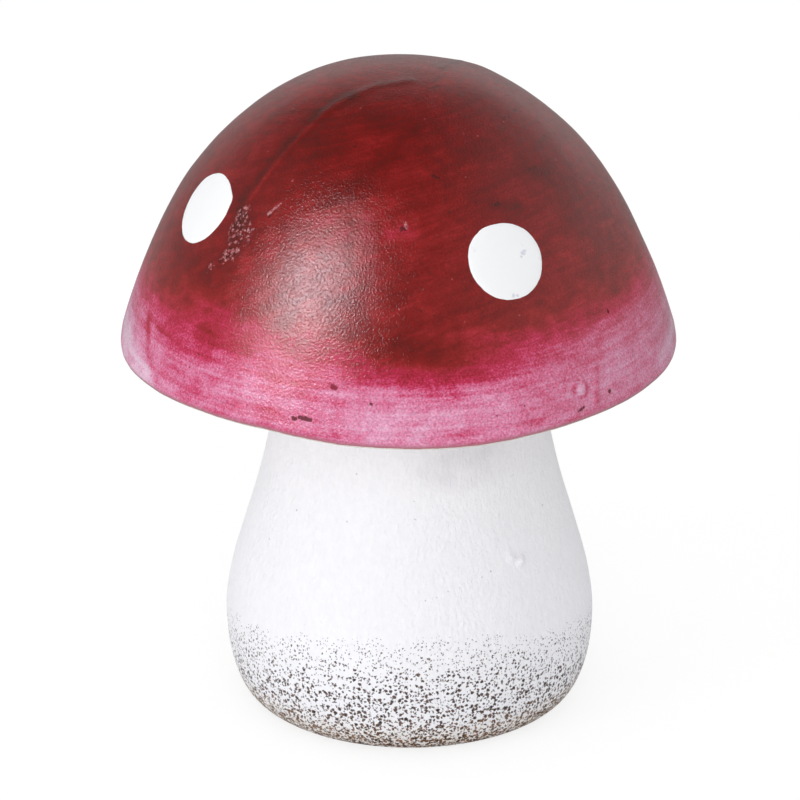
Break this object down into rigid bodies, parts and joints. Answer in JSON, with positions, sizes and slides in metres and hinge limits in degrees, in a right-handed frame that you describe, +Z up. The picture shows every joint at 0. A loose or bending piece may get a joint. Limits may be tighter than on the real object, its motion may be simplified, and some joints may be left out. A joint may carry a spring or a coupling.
{
  "type": "ceramic mushroom ornament",
  "caption": "Free-standing painted earthenware mushroom: a domed red cap with white spots on a swelling white stem, joined with slip at a spigot and socket.",
  "frame": {"origin": "middle of the flat foot, on the surface that the ornament stands on", "axes": "+Z up along the stem's axis, -Y towards the viewer of the picture, +X to that viewer's right"},
  "size_m": [0.0962, 0.0962, 0.115],
  "materials": {
    "red_cap": "satin",
    "white_stem": "matte",
    "joint_slip": "matte",
    "white_spots": "matte"
  },
  "bodies": {
    "root": {"cap_shell": "red_cap", "stem_shell": "white_stem", "slip_joint": "joint_slip", "white_spot_front": "white_spots", "white_spot_right": "white_spots", "white_spot_back": "white_spots", "white_spot_left": "white_spots"}
  },
  "joints": []
}
